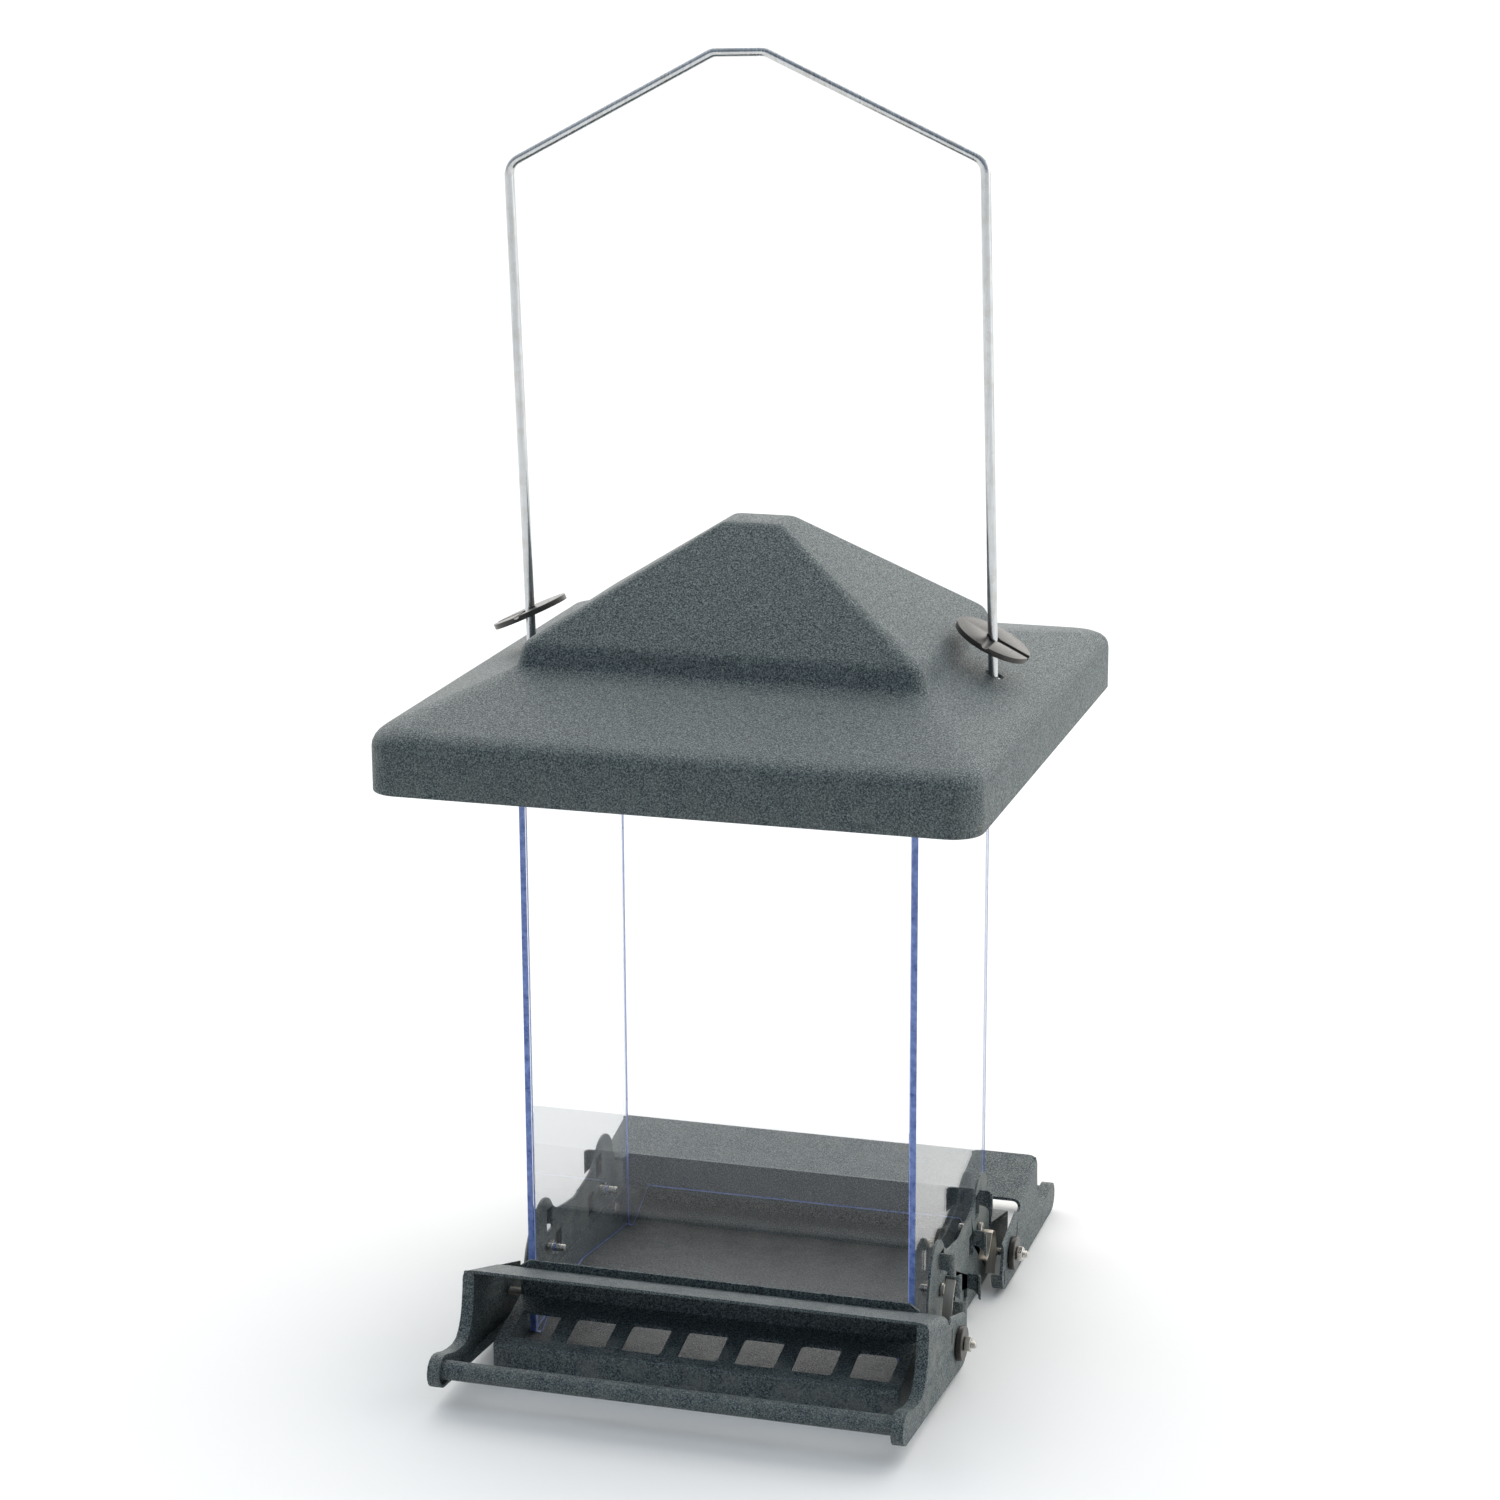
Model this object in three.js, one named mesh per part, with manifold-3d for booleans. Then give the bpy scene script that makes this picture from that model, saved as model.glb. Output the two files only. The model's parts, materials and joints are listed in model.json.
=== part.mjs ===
// Two-sided hopper feeder with sprung perches, a stamped hip roof and a wire hanger.
// Millimetres, +Z up. X runs across the feeder, -Y is the front, and z = 0 is the ground.
import * as THREE from 'three';
import { mergeVertices } from 'three/addons/utils/BufferGeometryUtils.js';
import Module from 'manifold-3d';

const wasm = await Module();
wasm.setup();

// ---- Driving dimensions ------------------------------------------------------

const gap = 0.3; // between pieces that touch

// Hopper of four clear sheets
const hopperWidth = 200;
const hopperDepth = 150;
const hopperHeight = 341;
const sheetWall = 3;
const feedGapHeight = 24; // under the front and rear sheets
const feedGapInset = 11.5; // from the sheet's end to the top of the feed gap
const feedLegFoot = 2.5; // width of the sheet's leg at its foot

// Pan, seed ramp and window ledges
const panReach = 42.3; // from the hopper's front face to the pan's front
const panWall = 1.5;
const rampApex = 13;
const rampReach = 11; // from the hopper's front face to the ramp's toe
const rampWall = 1.2;
const ledgeWall = 1.5;
const ledgeFoldHeight = 16;
const ledgeInnerHeight = 25.5;
const ledgeUpstandTop = 44; // the upstand stands in front of the sheet's foot
const ledgeChamferX = 5;
const ledgeChamferZ = 4;
const ledgeLipHeight = 12;
const windowGap = 8.3; // between two windows
const windowMargin = 5; // least metal outside the last window
const windowWidth = 20.6;
const windowLength = 21.5;
const windowSetback = 6.5; // from the front fold to the windows
const windowCorner = 2;

// Side plates with lanced spring hooks
const plateOffset = 3.4; // from the hopper to the plate's inner face
const plateWall = 1.2;
const plateSetback = 8; // from the hopper's front face to the plate's edge
const humpSetback = 12; // from the pivot to the middle of the hump
const humpHeight = 64.5;
const humpRadius = 15;
const saddleHeight = 47.5;
const hookReach = 7.6;
const hookDrop = 12.7;
const hookHeight = 7.7;
const hookCurl = 3;

// Perch frames: cover, arms and bar
const armClearance = 12.1; // from the side plate's outer face to the arm's inner face
const frameWall = 1.5;
const frameCorner = 5;
const pivotSetback = 16; // from the hopper's front face back to the pivot
const pivotZ = 17.5;
const coverOverhang = 0.4; // beyond the ledge's front fold
const coverFrontZ = 53.5;
const coverClearance = 1.4; // from the ledge's upstand to the cover's back edge
const coverBackZ = 40.5;
const armFlange = 6;
const armEarRadius = 16;
const heelDrop = 16.3; // from the pivot down to the heel
const heelReach = 20; // from the pivot back to the heel's end
const heelRadius = 10;
const barRadius = 4.8;
const barWall = 1.2;
const barReach = 102.5; // from the pivot to the bar
const barZ = 19.3;
const tipWall = 3.2; // of the arm's tip around the bar
const rearSag = 5.2; // degrees that the rear frame hangs lower at rest

// Pivot hardware
const studRadius = 2;
const studClearance = 0.3;
const studOverhang = 9; // beyond the arm's outer face
const studHeadRadius = 4;
const washerRadius = 8.8;
const washerThickness = 3;
const nutShoulder = 1.5; // from the stud's surface to a flat of the nut
const nutThickness = 3;

// Screws that pin the hopper to the side plates
const screwSetback = 18; // from the pivot to the screw
const screwZ = 36.5;
const screwRadius = 1.9;
const screwHeadRadius = 3.6;
const screwHeadThickness = 2.2;
const screwInner = 5; // beyond the sheet's outer face, into the hopper

// Leaf springs
const springWidth = 5;
const springWall = 0.8;

// Roof stamping
const roofOverhangX = 47;
const roofOverhangY = 81;
const roofWall = 1.6;
const roofSkirt = 26;
const roofCornerRadius = 15;
const roofDeckRise = 18;
const roofRiserHeight = 12;
const roofPeakRise = 53.5;
const roofPeakHalfX = 13;
const roofPeakHalfY = 10.5;
const roofSeatClearance = 1;

// Hanger and lock discs
const wireRadius = 2.4;
const legOffset = 18.6; // from the hopper to the leg's centre
const hangerShoulder = 262; // above the hook
const hangerTop = 314; // above the hook
const hangerTopHalf = 13;
const hangerBend = 9;
const hookBelowTop = 22; // from the hopper's top edge to the hanger's hooks
const hangerLean = 1.6; // degrees, from the play in the roof's holes
const wireClearance = 2.2;
const capWall = 2.6; // around the wire
const capThickness = 3;
const discRadius = 19.5;
const discThickness = 2.7;
const discGrip = 0.6; // how much narrower than the wire the disc's slot is
const discPlay = 1.5; // around the wire in the disc's bore
const discLift = 18.5; // above the roof's deck at the leg
const discTilts = { left: 23, right: 28 };

// ---- Places worked out from the sizes above ----------------------------------

const hopperX = hopperWidth / 2;
const hopperY = hopperDepth / 2;
const rampToe = hopperY + rampReach;
const rampSlope = (rampApex - panWall - gap) / rampToe;
const rampTopAt = (y) => rampApex - Math.abs(y) * rampSlope;
const sheetFoot = rampTopAt(hopperY) + 2 * gap;
const hopperTop = sheetFoot + hopperHeight;
const plateInner = hopperX + plateOffset;
const plateOuter = plateInner + plateWall;
const plateHalfDepth = hopperY - plateSetback;
const armInner = plateOuter + armClearance;
const armOuter = armInner + frameWall;
const pivotY = hopperY - pivotSetback;
const humpCentre = pivotY - humpSetback;
const screwY = pivotY - screwSetback;
const panHalfWidth = plateInner - gap;
const panHalfDepth = hopperY + panReach;
const hookLevel = hopperTop - hookBelowTop;
const legX = hopperX + legOffset;
const ledgeFoldY = panHalfDepth + gap + ledgeWall;
const ledgeInnerY = hopperY + ledgeWall + 2 * gap;
const windowPitch = windowWidth + windowGap;
const windowCount = Math.floor((2 * (panHalfWidth - windowMargin) + windowGap) / windowPitch);
const coverFrontY = ledgeFoldY + coverOverhang;
const coverBackY = ledgeInnerY + ledgeWall + coverClearance;
const barY = pivotY + barReach;
const tipRadius = barRadius + tipWall;
const nutAcrossFlats = 2 * (studRadius + nutShoulder);
const roofHalfX = hopperX + roofOverhangX;
const roofHalfY = hopperY + roofOverhangY;
const deckFootZ = hopperTop + roofSeatClearance + roofWall;
const skirtTopZ = deckFootZ - roofDeckRise;
const radians = THREE.MathUtils.degToRad;

// ---- Materials ---------------------------------------------------------------

const material = (name, color, roughness, metalness) => {
  const made = new THREE.MeshStandardMaterial({ color, roughness, metalness });
  made.name = name;
  return made;
};
const paint = { coat: '#46504e', clear: '#e6edf5', zinc: '#b9bab6', spring: '#a09a90', black: '#25211f' };
const coat = () => material('powder_coat', paint.coat, 0.6, 0.2);
const zinc = () => material('zinc_plate', paint.zinc, 0.3, 0.9);
const black = () => material('black_plastic', paint.black, 0.6, 0);
const springSteel = () => material('spring_steel', paint.spring, 0.35, 0.9);
const clear = () => {
  const made = material('clear_sheet', paint.clear, 0.08, 0);
  made.transparent = true;
  made.opacity = 0.25;
  return made;
};

// ---- Helpers -----------------------------------------------------------------

const model = new THREE.Group();

function addPiece(name, geometry, surface, parent = model) {
  const mesh = new THREE.Mesh(geometry, surface);
  mesh.name = name;
  parent.add(mesh);
  return mesh;
}

// Closed geometry to solid and back, so that pieces can be cut and joined.
function toSolid(geometry) {
  const bare = geometry.clone();
  bare.deleteAttribute('normal');
  bare.deleteAttribute('uv');
  const merged = mergeVertices(bare, 1e-4);
  return new wasm.Manifold(new wasm.Mesh({
    numProp: 3,
    vertProperties: Float32Array.from(merged.attributes.position.array),
    triVerts: Uint32Array.from(merged.index.array),
  }));
}

function toGeometry(solid) {
  const mesh = solid.getMesh();
  const geometry = new THREE.BufferGeometry();
  const vertices = new Float32Array(mesh.vertProperties);
  geometry.setAttribute('position', new THREE.BufferAttribute(vertices, 3));
  geometry.setIndex(new THREE.BufferAttribute(new Uint32Array(mesh.triVerts), 1));
  geometry.computeVertexNormals();
  return geometry;
}

const joined = (first, ...others) =>
  toGeometry(others.reduce((sum, next) => sum.add(toSolid(next)), toSolid(first)));
const cut = (first, ...others) =>
  toGeometry(others.reduce((rest, next) => rest.subtract(toSolid(next)), toSolid(first)));
const common = (first, second) => toGeometry(toSolid(first).intersect(toSolid(second)));

const mirroredX = (geometry) => flipped(geometry, -1, 1);
const mirroredY = (geometry) => flipped(geometry, 1, -1);

function flipped(geometry, sx, sy) {
  const copy = geometry.index ? geometry.toNonIndexed() : geometry.clone();
  copy.scale(sx, sy, 1);
  const place = copy.attributes.position;
  for (let i = 0; i < place.count; i += 3) {
    const b = new THREE.Vector3().fromBufferAttribute(place, i + 1);
    const c = new THREE.Vector3().fromBufferAttribute(place, i + 2);
    place.setXYZ(i + 1, c.x, c.y, c.z);
    place.setXYZ(i + 2, b.x, b.y, b.z);
  }
  copy.deleteAttribute('normal');
  copy.deleteAttribute('uv');
  const merged = mergeVertices(copy, 1e-4);
  merged.computeVertexNormals();
  return merged;
}

function shapeOf(points) {
  return new THREE.Shape(points.map(([a, b]) => new THREE.Vector2(a, b)));
}

const extrude = (shape, depth, curveSegments = 8) =>
  new THREE.ExtrudeGeometry(shape, { depth, bevelEnabled: false, curveSegments });

// An outline drawn in (Y, Z) and given its thickness from x0 to x1.
function plateYZ(shape, x0, x1, curveSegments) {
  const geometry = extrude(shape, x1 - x0, curveSegments);
  const axes = [new THREE.Vector3(0, 1, 0), new THREE.Vector3(0, 0, 1), new THREE.Vector3(1, 0, 0)];
  geometry.applyMatrix4(new THREE.Matrix4().makeBasis(...axes));
  return geometry.translate(x0, 0, 0);
}

// An outline drawn in (X, Z) and given its thickness from y0 to y1.
function plateXZ(shape, y0, y1, curveSegments) {
  const geometry = extrude(shape, y1 - y0, curveSegments);
  geometry.rotateX(Math.PI / 2);
  return geometry.translate(0, y1, 0);
}

function box(x0, x1, y0, y1, z0, z1) {
  const geometry = new THREE.BoxGeometry(x1 - x0, y1 - y0, z1 - z0);
  return geometry.translate((x0 + x1) / 2, (y0 + y1) / 2, (z0 + z1) / 2);
}

// A round bar along X from x0 to x1.
function rodX(radius, x0, x1, y, z, sides = 20) {
  const geometry = new THREE.CylinderGeometry(radius, radius, x1 - x0, sides);
  geometry.rotateZ(Math.PI / 2);
  return geometry.translate((x0 + x1) / 2, y, z);
}

// A strip of constant thickness that follows a line: the outline between it and its offset.
function stripShape(line, thickness) {
  const side = line.map((point, i) => {
    const before = line[Math.max(i - 1, 0)];
    const after = line[Math.min(i + 1, line.length - 1)];
    const along = new THREE.Vector2(after[0] - before[0], after[1] - before[1]).normalize();
    return [point[0] - along.y * thickness, point[1] + along.x * thickness];
  });
  return shapeOf([...line, ...side.reverse()]);
}

const arcPoints = (cy, cz, radius, from, to, steps) =>
  Array.from({ length: steps + 1 }, (_, i) => {
    const angle = radians(from + ((to - from) * i) / steps);
    return [cy + radius * Math.cos(angle), cz + radius * Math.sin(angle)];
  });

const curvePoints = (points, steps) =>
  new THREE.SplineCurve(points.map(([a, b]) => new THREE.Vector2(a, b)))
    .getPoints(steps).map((p) => [p.x, p.y]);

// ---- Hopper ------------------------------------------------------------------

function sideSheet() {
  const peak = rampTopAt(0) + 2 * gap;
  const outline = shapeOf([
    [-hopperY, sheetFoot], [0, peak], [hopperY, sheetFoot],
    [hopperY, hopperTop], [-hopperY, hopperTop],
  ]);
  const sheet = plateYZ(outline, hopperX - sheetWall, hopperX);
  const holes = [-1, 1].map((side) =>
    rodX(screwRadius + studClearance, hopperX - sheetWall - 1, hopperX + 1, side * screwY, screwZ));
  const play = wireRadius + wireClearance;
  const slot = box(hopperX - sheetWall - 1, hopperX + 1, -play, play, hookLevel - 2 * play, hookLevel + 2 * play);
  return cut(sheet, ...holes, slot);
}

function endSheet() {
  const half = hopperX - sheetWall - gap;
  const top = sheetFoot + feedGapHeight;
  const outline = shapeOf([
    [-half, sheetFoot], [-half + feedLegFoot, sheetFoot], [-half + feedGapInset, top],
    [half - feedGapInset, top], [half - feedLegFoot, sheetFoot], [half, sheetFoot],
    [half, hopperTop], [-half, hopperTop],
  ]);
  return plateXZ(outline, -hopperY, -hopperY + sheetWall);
}

addPiece('right_clear_panel', sideSheet(), clear());
addPiece('left_clear_panel', mirroredX(sideSheet()), clear());
addPiece('front_clear_panel', endSheet(), clear());
addPiece('rear_clear_panel', mirroredY(endSheet()), clear());

// ---- Pan, ramp and ledges ----------------------------------------------------

const ledgeSlope = (ledgeInnerHeight - ledgeFoldHeight) / (ledgeFoldY - ledgeInnerY);
const ledgeUnderAt = (y) => ledgeFoldHeight + (ledgeFoldY - y) * ledgeSlope - ledgeWall * 1.1;

function pan() {
  const inner = panHalfDepth - panWall;
  const wallTop = (y) => ledgeUnderAt(y) - gap;
  const end = shapeOf([
    [-panHalfDepth, 0], [panHalfDepth, 0], [panHalfDepth, wallTop(panHalfDepth)],
    [ledgeInnerY, wallTop(ledgeInnerY)], [-ledgeInnerY, wallTop(ledgeInnerY)],
    [-panHalfDepth, wallTop(panHalfDepth)],
  ]);
  const full = plateYZ(end, -panHalfWidth, panHalfWidth);
  const hollow = box(-panHalfWidth + panWall, panHalfWidth - panWall, -inner, inner, panWall, hopperHeight);
  const headRoom = [-1, 1].map((side) =>
    rodX(studHeadRadius + gap, -panHalfWidth - 1, panHalfWidth + 1, side * pivotY, pivotZ));
  return cut(full, hollow, ...headRoom);
}

function seedRamp() {
  const half = panHalfWidth - panWall - gap;
  const line = [[rampToe, rampTopAt(rampToe)], [0, rampApex], [-rampToe, rampTopAt(rampToe)]];
  const under = [[-rampToe + rampWall * 8, panWall + gap], [0, rampApex - rampWall], [rampToe - rampWall * 8, panWall + gap]];
  return plateYZ(shapeOf([...line, [-rampToe, panWall + gap], ...under, [rampToe, panWall + gap]]), -half, half);
}

function roundedWindow(cx, y0, y1) {
  const half = windowWidth / 2;
  const shape = new THREE.Shape();
  shape.moveTo(cx - half + windowCorner, y0);
  shape.lineTo(cx + half - windowCorner, y0);
  shape.quadraticCurveTo(cx + half, y0, cx + half, y0 + windowCorner);
  shape.lineTo(cx + half, y1 - windowCorner);
  shape.quadraticCurveTo(cx + half, y1, cx + half - windowCorner, y1);
  shape.lineTo(cx - half + windowCorner, y1);
  shape.quadraticCurveTo(cx - half, y1, cx - half, y1 - windowCorner);
  shape.lineTo(cx - half, y0 + windowCorner);
  shape.quadraticCurveTo(cx - half, y0, cx - half + windowCorner, y0);
  return extrude(shape, hopperHeight, 3);
}

function windowLedge() {
  const top = (y) => ledgeFoldHeight + (ledgeFoldY - y) * ledgeSlope;
  const section = shapeOf([
    [-ledgeFoldY, ledgeFoldHeight - ledgeLipHeight], [-ledgeFoldY, ledgeFoldHeight - ledgeWall / 2],
    [-ledgeFoldY + ledgeWall / 2, top(ledgeFoldY - ledgeWall / 2)],
    [-ledgeInnerY - ledgeWall, top(ledgeInnerY + ledgeWall)], [-ledgeInnerY - ledgeWall, ledgeUpstandTop],
    [-ledgeInnerY, ledgeUpstandTop], [-ledgeInnerY, ledgeUnderAt(ledgeInnerY)],
    [-ledgeFoldY + ledgeWall, ledgeUnderAt(ledgeFoldY - ledgeWall)],
    [-ledgeFoldY + ledgeWall, ledgeFoldHeight - ledgeLipHeight],
  ].reverse());
  const plate = plateYZ(section, -panHalfWidth, panHalfWidth);
  const first = (-(windowCount - 1) / 2) * windowPitch;
  const front = -ledgeFoldY + windowSetback;
  const cutters = Array.from({ length: windowCount }, (_, i) =>
    roundedWindow(first + i * windowPitch, front, front + windowLength));
  const chamfer = plateXZ(shapeOf([
    [panHalfWidth + 1, ledgeUpstandTop - ledgeChamferZ], [panHalfWidth + 1, ledgeUpstandTop + 1],
    [panHalfWidth - ledgeChamferX, ledgeUpstandTop + 1], [panHalfWidth - ledgeChamferX, ledgeUpstandTop],
  ]), -ledgeInnerY - ledgeWall - 1, -ledgeInnerY + 1);
  return cut(plate, ...cutters, chamfer, mirroredX(chamfer));
}

addPiece('base_pan', pan(), coat());
addPiece('seed_ramp', seedRamp(), coat());
addPiece('front_window_ledge', windowLedge(), coat());
addPiece('rear_window_ledge', mirroredY(windowLedge()), coat());

// ---- Side plates with spring hooks -------------------------------------------

// Each hook: where its root stands, which way its opening lies, and its top.
const hooks = [
  { y: pivotY - 15, z: 57, side: 1 },
  { y: pivotY - 28, z: 40, side: 1 },
  { y: pivotY - 40, z: 21, side: 1 },
];

function plateOutline() {
  const foot = panWall;
  const rise = arcPoints(humpCentre, humpHeight - humpRadius, humpRadius, 8, 152, 10);
  const saddle = curvePoints([rise[10], [humpCentre - humpRadius * 1.5, saddleHeight + 4], [0, saddleHeight]], 8);
  const half = [[plateHalfDepth, foot], [plateHalfDepth - 1, 40], ...rise, ...saddle.slice(1)];
  const other = half.slice(0, -1).map(([y, z]) => [-y, z]).reverse();
  return shapeOf([...half, ...other]);
}

function hookPiece({ y, z, side }) {
  const bendX = plateOuter + hookReach - hookCurl;
  const curl = arcPoints(bendX, y - side * hookCurl, hookCurl, 90 * side, 0, 4);
  const line = [[plateInner + plateWall / 2, y], ...curl, [bendX + hookCurl, y - side * (hookCurl + 1)]];
  const band = stripShape(line, -side * plateWall);
  const post = extrude(band, hookDrop);
  post.translate(0, 0, z - hookDrop);
  const neck = plateOuter + hookReach * 0.45;
  const end = plateOuter + hookReach + plateWall;
  const claw = shapeOf([
    [plateInner, z], [end, z], [end, z - hookDrop], [end - 1.2, z - hookDrop],
    [neck, z - hookHeight - 1], [plateInner, z - hookHeight],
  ].reverse());
  return common(post, plateXZ(claw, y - 3 * hookCurl, y + 3 * hookCurl));
}

function sidePlate() {
  const both = [...hooks, ...hooks.map((hook) => ({ y: -hook.y, z: hook.z, side: -1 }))];
  const plate = plateYZ(plateOutline(), plateInner, plateOuter);
  const openings = both.map(({ y, z, side }) => {
    const near = y - side * plateWall;
    const far = near - side * (hookReach + 1);
    return box(plateInner - 1, plateOuter + 1, Math.min(near, far), Math.max(near, far),
      z - hookDrop, z - 0.5);
  });
  const studHoles = [-1, 1].map((side) =>
    rodX(studRadius + studClearance, plateInner - 1, plateOuter + 1, side * pivotY, pivotZ));
  const screwHoles = [-1, 1].map((side) =>
    rodX(screwRadius + studClearance, plateInner - 1, plateOuter + 1, side * screwY, screwZ));
  const bare = cut(plate, ...openings, ...studHoles, ...screwHoles);
  return joined(bare, ...both.map(hookPiece));
}

addPiece('right_side_plate', sidePlate(), coat());
addPiece('left_side_plate', mirroredX(sidePlate()), coat());

// ---- Perch frames ------------------------------------------------------------
// Drawn for the front, with the pivot line as the origin of each moving group.

const coverAngle = Math.atan2(coverFrontZ - coverBackZ, coverFrontY - coverBackY);

// The arm's front edge from the cover down to the bar, then round the tip.
function frontEdge() {
  const down = curvePoints([
    [-coverFrontY, coverFrontZ - 1], [-coverFrontY - 0.5, coverFrontZ - 9], [-coverFrontY - 4, coverFrontZ - 23],
    [-coverFrontY - 12, barZ + 2.2], [-barY + 16, barZ + 2.7], [-barY + 6, barZ + tipRadius - 2.2],
  ], 12);
  const tip = arcPoints(-barY, barZ - 1, tipRadius, 78, 258, 8);
  return [...down, ...tip];
}

function heelEdge() {
  return arcPoints(-pivotY + heelReach - heelRadius, pivotZ - heelDrop + heelRadius, heelRadius, 265, 355, 7);
}

function armOutline() {
  const ear = arcPoints(-pivotY + 1, pivotZ + 6.5, armEarRadius, 0, 105, 8);
  const valley = [-coverBackY + 3, coverBackZ - 6];
  return shapeOf([...frontEdge(), ...heelEdge(), ...ear, valley, [-coverBackY, coverBackZ - 4],
    [-coverBackY, coverBackZ + 0.5], [-coverFrontY, coverFrontZ + 0.5]]);
}

// An inverted channel with rounded corners, long enough to hold cover and arms.
function channel() {
  const deep = 120;
  const outer = new THREE.Shape();
  outer.moveTo(-armOuter, -deep);
  outer.lineTo(-armOuter, -frameCorner);
  outer.quadraticCurveTo(-armOuter, 0, -armOuter + frameCorner, 0);
  outer.lineTo(armOuter - frameCorner, 0);
  outer.quadraticCurveTo(armOuter, 0, armOuter, -frameCorner);
  outer.lineTo(armOuter, -deep);
  outer.lineTo(armInner, -deep);
  outer.lineTo(armInner, -frameCorner);
  outer.quadraticCurveTo(armInner, -frameWall, armInner - frameCorner + frameWall, -frameWall);
  outer.lineTo(-armInner + frameCorner - frameWall, -frameWall);
  outer.quadraticCurveTo(-armInner, -frameWall, -armInner, -frameCorner);
  outer.lineTo(-armInner, -deep);
  const geometry = plateXZ(outer, -150, 150, 5);
  geometry.rotateX(-coverAngle);
  return geometry.translate(0, -coverFrontY, coverFrontZ);
}

function perchFrame() {
  const silhouette = plateYZ(armOutline(), -armOuter - 1, armOuter + 1);
  const behindCover = box(-armInner, armInner, -coverBackY, hopperDepth, 0, hopperHeight);
  const body = cut(common(channel(), silhouette), behindCover);
  const edge = [...frontEdge(), ...heelEdge()];
  const band = stripShape(edge, frameWall);
  const flanges = [-1, 1].map((side) => {
    const x0 = side > 0 ? armOuter - armFlange : -armOuter + frameWall / 2;
    return plateYZ(band, x0, x0 + armFlange - frameWall / 2);
  });
  const whole = joined(body, ...flanges);
  const pivots = rodX(studRadius + studClearance, -armOuter - 1, armOuter + 1, -pivotY, pivotZ);
  const slots = [-1, 1].map((side) =>
    box(-armOuter - 1, armOuter + 1, -pivotY + side * 13.5 - 1, -pivotY + side * 13.5 + 1,
      pivotZ - side * 9 - 4, pivotZ - side * 9 + 4));
  return cut(whole, pivots, ...slots);
}

function perchBar() {
  const half = armInner - gap;
  const outline = new THREE.Shape();
  outline.absarc(-barY, barZ, barRadius, 0, 2 * Math.PI);
  const bore = new THREE.Path();
  bore.absarc(-barY, barZ, barRadius - barWall, 0, 2 * Math.PI, true);
  outline.holes.push(bore);
  return plateYZ(outline, -half, half, 10);
}

function moved(geometry, y, z) {
  return geometry.translate(0, y, z);
}

function addPerch(end, side, sag) {
  const hinge = new THREE.Group();
  hinge.position.set(0, side * pivotY, pivotZ);
  hinge.rotation.x = radians(-side * sag);
  model.add(hinge);
  const facing = (geometry) => (side < 0 ? geometry : mirroredY(geometry));
  const local = (geometry) => moved(facing(geometry), -side * pivotY, -pivotZ);
  addPiece(`${end}_perch_frame`, local(perchFrame()), coat(), hinge);
  addPiece(`${end}_perch_bar`, local(perchBar()), coat(), hinge);
}

addPerch('front', -1, 0);
addPerch('rear', 1, rearSag);

// ---- Pivot hardware, screws and springs --------------------------------------

function hexNut(x0, thickness, bore) {
  const corner = nutAcrossFlats / Math.sqrt(3);
  const body = rodX(corner, x0, x0 + thickness, 0, 0, 6);
  return cut(body, rodX(bore, x0 - 1, x0 + thickness + 1, 0, 0, 16));
}

function pivotStud() {
  const head = rodX(studHeadRadius, hopperX + gap, plateInner - gap, 0, 0);
  return joined(head, rodX(studRadius, plateInner - gap - 0.5, armOuter + studOverhang, 0, 0, 16));
}

function pivotWasher() {
  const x0 = armOuter + gap;
  const disc = rodX(washerRadius, x0, x0 + washerThickness, 0, 0, 28);
  return cut(disc, rodX(studRadius + studClearance, x0 - 1, x0 + washerThickness + 1, 0, 0, 16));
}

function panelScrew() {
  const x0 = plateOuter + gap;
  const head = rodX(screwHeadRadius, x0, x0 + screwHeadThickness, 0, 0, 18);
  const shank = rodX(screwRadius, hopperX - sheetWall - screwInner, x0 + 0.5, 0, 0, 14);
  const slot = box(x0 + screwHeadThickness / 2, x0 + 3, -0.5, 0.5, -screwHeadRadius, screwHeadRadius);
  return cut(joined(head, shank), slot);
}

// A strip from a hook on the side plate to the lower slot of the arm, in (Y, Z) about the pivot.
function springStrip(high) {
  const [strong, weak] = [hooks[0], hooks[1]];
  const held = high ? strong : weak;
  const start = [pivotY - held.y + hookCurl, held.z - hookDrop - 2 * springWall - pivotZ];
  const path = high
    ? [start, [12, 17], [9, 4], [12.2, -7.5]]
    : [start, [start[0] - 5, start[1] + 1.5], [start[0] - 13, 18.5], [10.5, 14], [8.4, 4], [12.2, -7.5]];
  const shape = stripShape(curvePoints(path, 16), springWall);
  const inner = plateOuter + screwHeadThickness + 2 * gap;
  return plateYZ(shape, inner, inner + springWidth);
}

const corners = [
  { end: 'front', hand: 'right', sy: -1, sx: 1 }, { end: 'front', hand: 'left', sy: -1, sx: -1 },
  { end: 'rear', hand: 'right', sy: 1, sx: 1 }, { end: 'rear', hand: 'left', sy: 1, sx: -1 },
];

for (const { end, hand, sy, sx } of corners) {
  const label = `${end}_${hand}`;
  const facing = (geometry) => {
    const turned = sy > 0 ? mirroredY(geometry) : geometry;
    return sx < 0 ? mirroredX(turned) : turned;
  };
  const nutStart = armOuter + washerThickness + 2 * gap;
  const nutBore = studRadius + gap / 2;
  const pivotPieces = [
    ['pivot_stud', pivotStud(), zinc()],
    ['pivot_washer', pivotWasher(), black()],
    ['pivot_nut', hexNut(nutStart, nutThickness, nutBore), zinc()],
    ['leaf_spring', springStrip(sy < 0), springSteel()],
  ];
  for (const [kind, geometry, surface] of pivotPieces) {
    addPiece(`${label}_${kind}`, moved(facing(geometry), sy * pivotY, pivotZ), surface);
  }
  const panelNut = hexNut(hopperX + gap, plateOffset - 2 * gap, screwRadius + gap / 2);
  addPiece(`${label}_panel_screw`, moved(facing(panelScrew()), sy * screwY, screwZ), zinc());
  addPiece(`${label}_panel_nut`, moved(facing(panelNut), sy * screwY, screwZ), zinc());
}

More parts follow.
